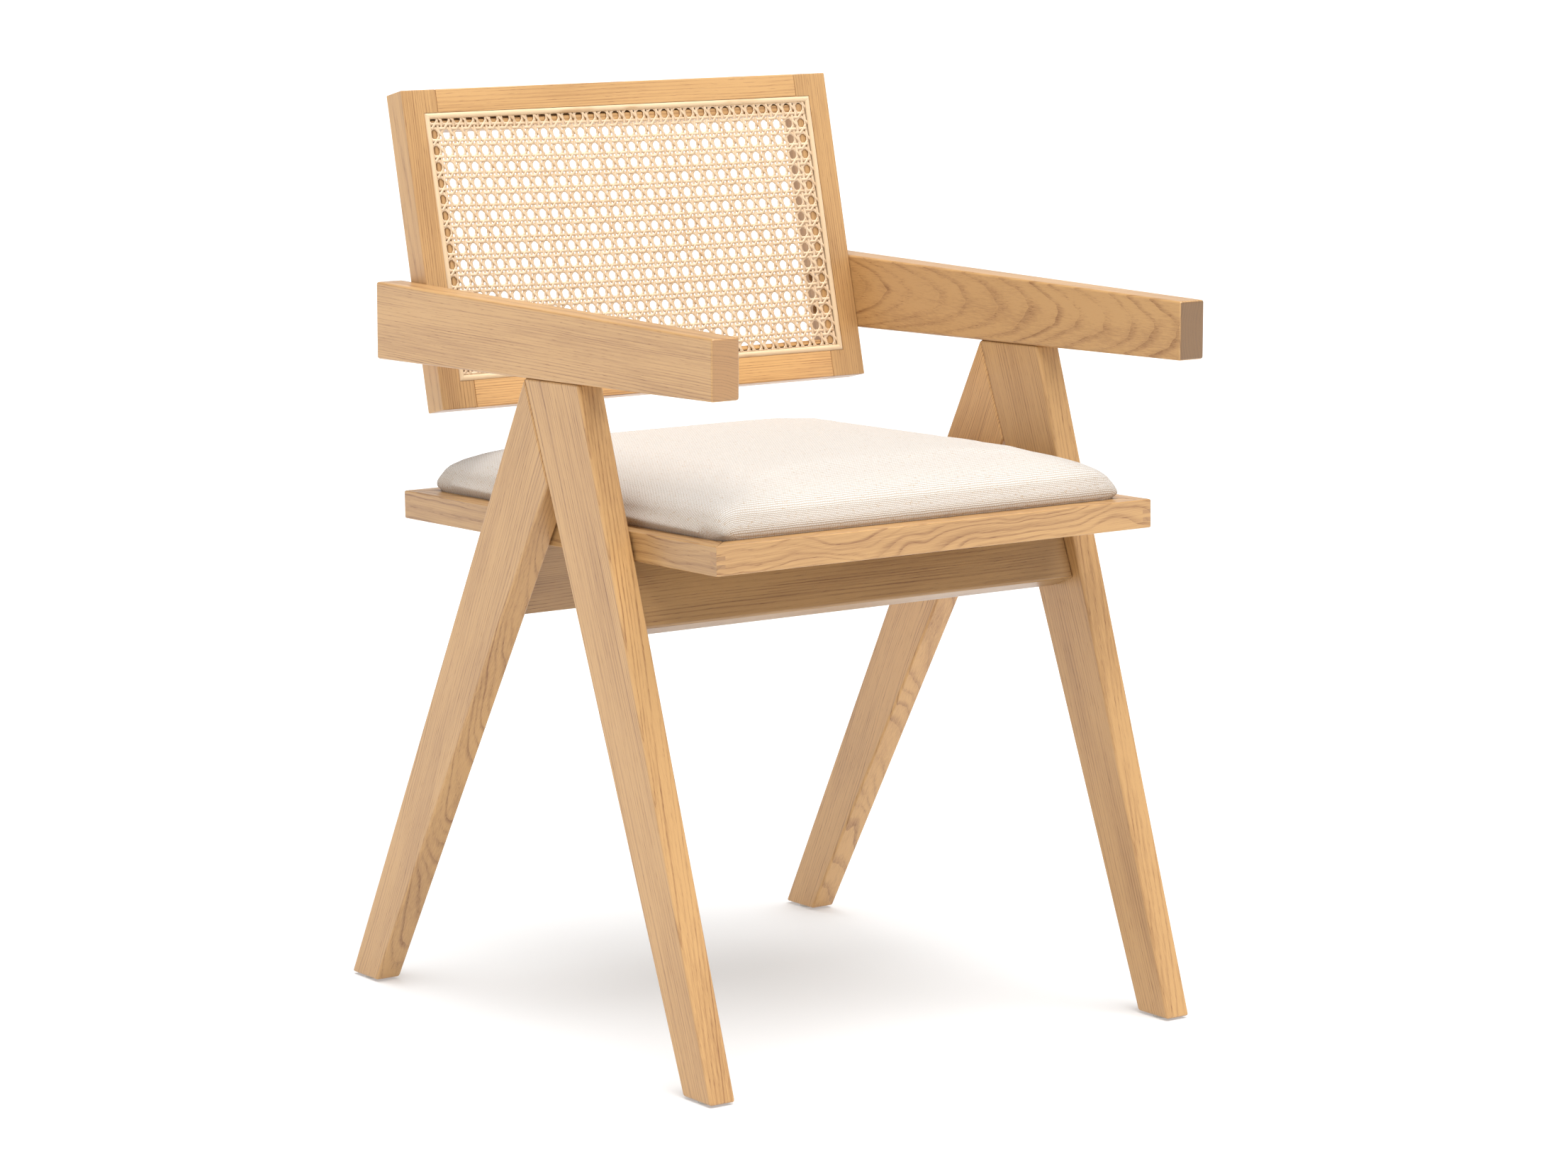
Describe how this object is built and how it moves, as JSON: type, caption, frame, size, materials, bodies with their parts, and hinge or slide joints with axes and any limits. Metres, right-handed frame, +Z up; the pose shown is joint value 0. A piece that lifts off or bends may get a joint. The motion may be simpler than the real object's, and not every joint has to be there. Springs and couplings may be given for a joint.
{
  "type": "armchair",
  "caption": "Wooden armchair on inverted-V side frames, with flat armrests, a leaning caned back panel and an upholstered seat pad.",
  "frame": {"origin": "on the floor under the middle of the chair's bounding box", "axes": "+Z up, the front faces -Y, and +X is on the right as seen from the front"},
  "size_m": [0.494, 0.553, 0.7716],
  "materials": {
    "ash": "clear matt lacquer over open-grained ash",
    "plywood": "plain birch plywood",
    "pad_cloth": "undyed ribbed upholstery cloth over foam",
    "cane": "natural woven cane",
    "reed": "natural split reed",
    "dowel": "plain beech",
    "steel": "zinc-plated steel",
    "glide": "moulded nylon"
  },
  "bodies": {
    "root": {"left_arm": "ash", "right_arm": "ash", "left_front_leg": "ash", "right_front_leg": "ash", "left_rear_leg": "ash", "right_rear_leg": "ash", "front_crossbar": "ash", "rear_crossbar": "ash", "seat_front_rail": "ash", "seat_rear_rail": "ash", "seat_left_rail": "ash", "seat_right_rail": "ash", "back_left_stile": "ash", "back_right_stile": "ash", "back_top_rail": "ash", "back_bottom_rail": "ash", "seat_board": "plywood", "pad_board": "plywood", "seat_pad": "pad_cloth", "cane_panel": "cane", "spline_left": "reed", "spline_right": "reed", "spline_top": "reed", "spline_bottom": "reed", "left_front_glide": "glide", "right_front_glide": "glide", "left_rear_glide": "glide", "right_rear_glide": "glide", "arm_dowels": "dowel", "scarf_dowels": "dowel", "crossbar_dowels": "dowel", "back_rail_dowels": "dowel", "back_bolts": "steel", "back_inserts": "steel", "seat_screws": "steel", "pad_screws": "steel"}
  },
  "joints": []
}
